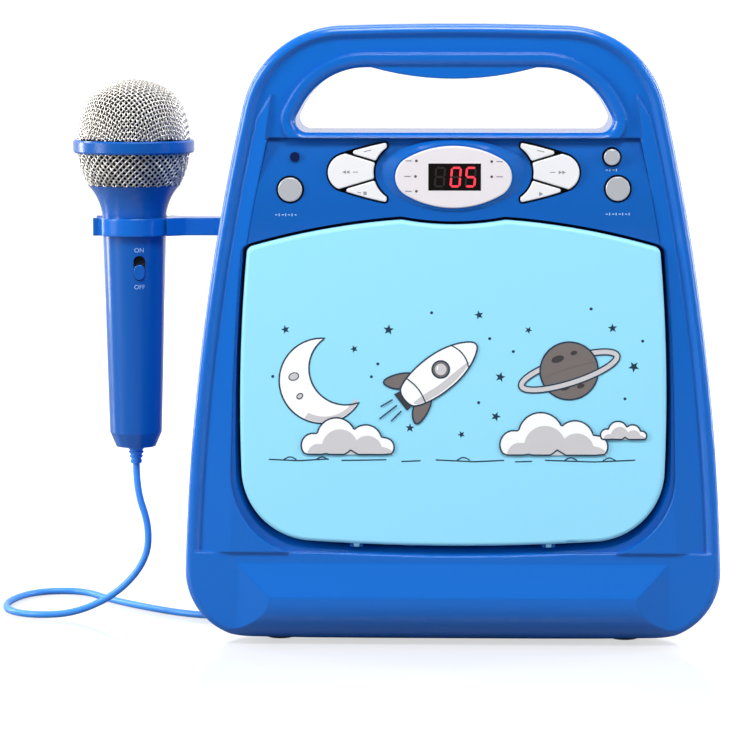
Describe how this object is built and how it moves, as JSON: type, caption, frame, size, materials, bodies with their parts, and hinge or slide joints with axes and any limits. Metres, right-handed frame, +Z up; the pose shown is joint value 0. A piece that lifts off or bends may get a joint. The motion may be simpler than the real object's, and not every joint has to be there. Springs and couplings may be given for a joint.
{
  "type": "karaoke machine",
  "caption": "Children's disc karaoke machine with carry handle, drop-down disc door, key panel with display, and a corded microphone held in a side clip.",
  "frame": {"origin": "middle of the cabinet's width, on the plane the feet stand on", "axes": "+Z up, the disc door and keys face -Y, the microphone stands at -X"},
  "size_m": [0.3503, 0.1927, 0.2916],
  "materials": {
    "body_blue": "satin moulded",
    "panel_blue": "satin moulded",
    "door_cyan": "satin, printed",
    "liner_blue": "matt moulded",
    "key_white": "matt, printed icons",
    "knob_blue": "satin moulded",
    "trim_white": "satin",
    "window_dark": "gloss",
    "black_plastic": "matt",
    "board_green": "solder mask",
    "steel": "bright",
    "zinc_steel": "plated",
    "mesh_steel": "woven wire",
    "lens_glass": "coated",
    "paper": "pressed paper",
    "rubber": "matt",
    "mic_blue": "satin moulded",
    "cord_blue": "satin vinyl",
    "nickel": "polished"
  },
  "bodies": {
    "cabinet": {"front_cabinet": "body_blue", "rear_cabinet": "body_blue", "cabinet_screws": "zinc_steel", "feet": "rubber", "control_panel": "panel_blue", "key_board": "board_green", "display_bezel": "trim_white", "display_window": "window_dark", "sensor_lens": "window_dark", "door_latch": "black_plastic", "disc_deck": "liner_blue", "sled_rods": "steel", "spindle_motor": "zinc_steel", "speaker_frame": "zinc_steel", "speaker_cone": "paper", "main_board": "board_green", "transformer": "steel", "mains_inlet": "black_plastic", "mic_jacks": "black_plastic", "aux_jack": "black_plastic", "volume_pots": "zinc_steel", "battery_contacts": "nickel", "mic_holder": "body_blue", "mic_cord": "cord_blue", "mic_cord_coil": "cord_blue", "mic_plug": "nickel"},
    "door": {"door_panel": "door_cyan", "door_liner": "liner_blue", "hinge_pins": "steel"},
    "hub": {"disc_hub": "black_plastic", "spindle_shaft": "steel"},
    "sled": {"laser_sled": "black_plastic", "laser_lens": "lens_glass"},
    "mic_volume_knob": {"mic_volume_knob": "knob_blue"},
    "echo_knob": {"echo_knob": "knob_blue"},
    "battery_door": {"battery_door": "body_blue"},
    "microphone": {"mic_handle": "mic_blue", "mic_grille_top": "mesh_steel", "mic_grille_bottom": "mesh_steel", "mic_ring": "mic_blue", "mic_capsule": "black_plastic", "mic_strain_relief": "cord_blue"},
    "mic_switch": {"mic_switch": "mic_blue"},
    "key_left_upper": {"key_left_upper": "key_white"},
    "key_left_middle": {"key_left_middle": "key_white"},
    "key_left_lower": {"key_left_lower": "key_white"},
    "key_right_upper": {"key_right_upper": "key_white"},
    "key_right_middle": {"key_right_middle": "key_white"},
    "key_right_lower": {"key_right_lower": "key_white"},
    "button_left": {"button_left": "key_white"},
    "button_right": {"button_right": "key_white"},
    "button_small": {"button_small": "key_white"}
  },
  "joints": [
    {"name": "door_hinge", "type": "hinge", "parent": "cabinet", "child": "door", "pos_m": [0, -0.0592, 0.04831], "axis": [1, 0, 0], "range_deg": [0, 60]},
    {"name": "key_left_upper_press", "type": "slide", "parent": "cabinet", "child": "key_left_upper", "axis": [0, 1, 0], "range_m": [0, 0.001], "stiffness_N_per_m": 300},
    {"name": "key_left_middle_press", "type": "slide", "parent": "cabinet", "child": "key_left_middle", "axis": [0, 1, 0], "range_m": [0, 0.001], "stiffness_N_per_m": 300},
    {"name": "key_left_lower_press", "type": "slide", "parent": "cabinet", "child": "key_left_lower", "axis": [0, 1, 0], "range_m": [0, 0.001], "stiffness_N_per_m": 300},
    {"name": "key_right_upper_press", "type": "slide", "parent": "cabinet", "child": "key_right_upper", "axis": [0, 1, 0], "range_m": [0, 0.001], "stiffness_N_per_m": 300},
    {"name": "key_right_middle_press", "type": "slide", "parent": "cabinet", "child": "key_right_middle", "axis": [0, 1, 0], "range_m": [0, 0.001], "stiffness_N_per_m": 300},
    {"name": "key_right_lower_press", "type": "slide", "parent": "cabinet", "child": "key_right_lower", "axis": [0, 1, 0], "range_m": [0, 0.001], "stiffness_N_per_m": 300},
    {"name": "button_left_press", "type": "slide", "parent": "cabinet", "child": "button_left", "axis": [0, 1, 0], "range_m": [0, 0.001], "stiffness_N_per_m": 300},
    {"name": "button_right_press", "type": "slide", "parent": "cabinet", "child": "button_right", "axis": [0, 1, 0], "range_m": [0, 0.001], "stiffness_N_per_m": 300},
    {"name": "button_small_press", "type": "slide", "parent": "cabinet", "child": "button_small", "axis": [0, 1, 0], "range_m": [0, 0.001], "stiffness_N_per_m": 300},
    {"name": "disc_spin", "type": "hinge", "parent": "cabinet", "child": "hub", "pos_m": [0, -0.044, 0.121], "axis": [0, -1, 0], "continuous": true},
    {"name": "sled_slide", "type": "slide", "parent": "cabinet", "child": "sled", "axis": [1, 0, 0], "range_m": [0, 0.033]},
    {"name": "mic_volume_turn", "type": "hinge", "parent": "cabinet", "child": "mic_volume_knob", "pos_m": [0.062, 0.0624, 0.118], "axis": [0, -1, 0], "range_deg": [-135, 135]},
    {"name": "echo_turn", "type": "hinge", "parent": "cabinet", "child": "echo_knob", "pos_m": [0.082, 0.0624, 0.118], "axis": [0, -1, 0], "range_deg": [-135, 135]},
    {"name": "battery_door_hinge", "type": "hinge", "parent": "cabinet", "child": "battery_door", "pos_m": [0, 0.0602, 0.0182], "axis": [-1, 0, 0], "range_deg": [0, 80]},
    {"name": "microphone_lift", "type": "slide", "parent": "cabinet", "child": "microphone", "axis": [0, 0, 1], "range_m": [0, 0.125]},
    {"name": "mic_switch_slide", "type": "slide", "parent": "microphone", "child": "mic_switch", "axis": [0, 0, 1], "range_m": [0, 0.004]}
  ]
}
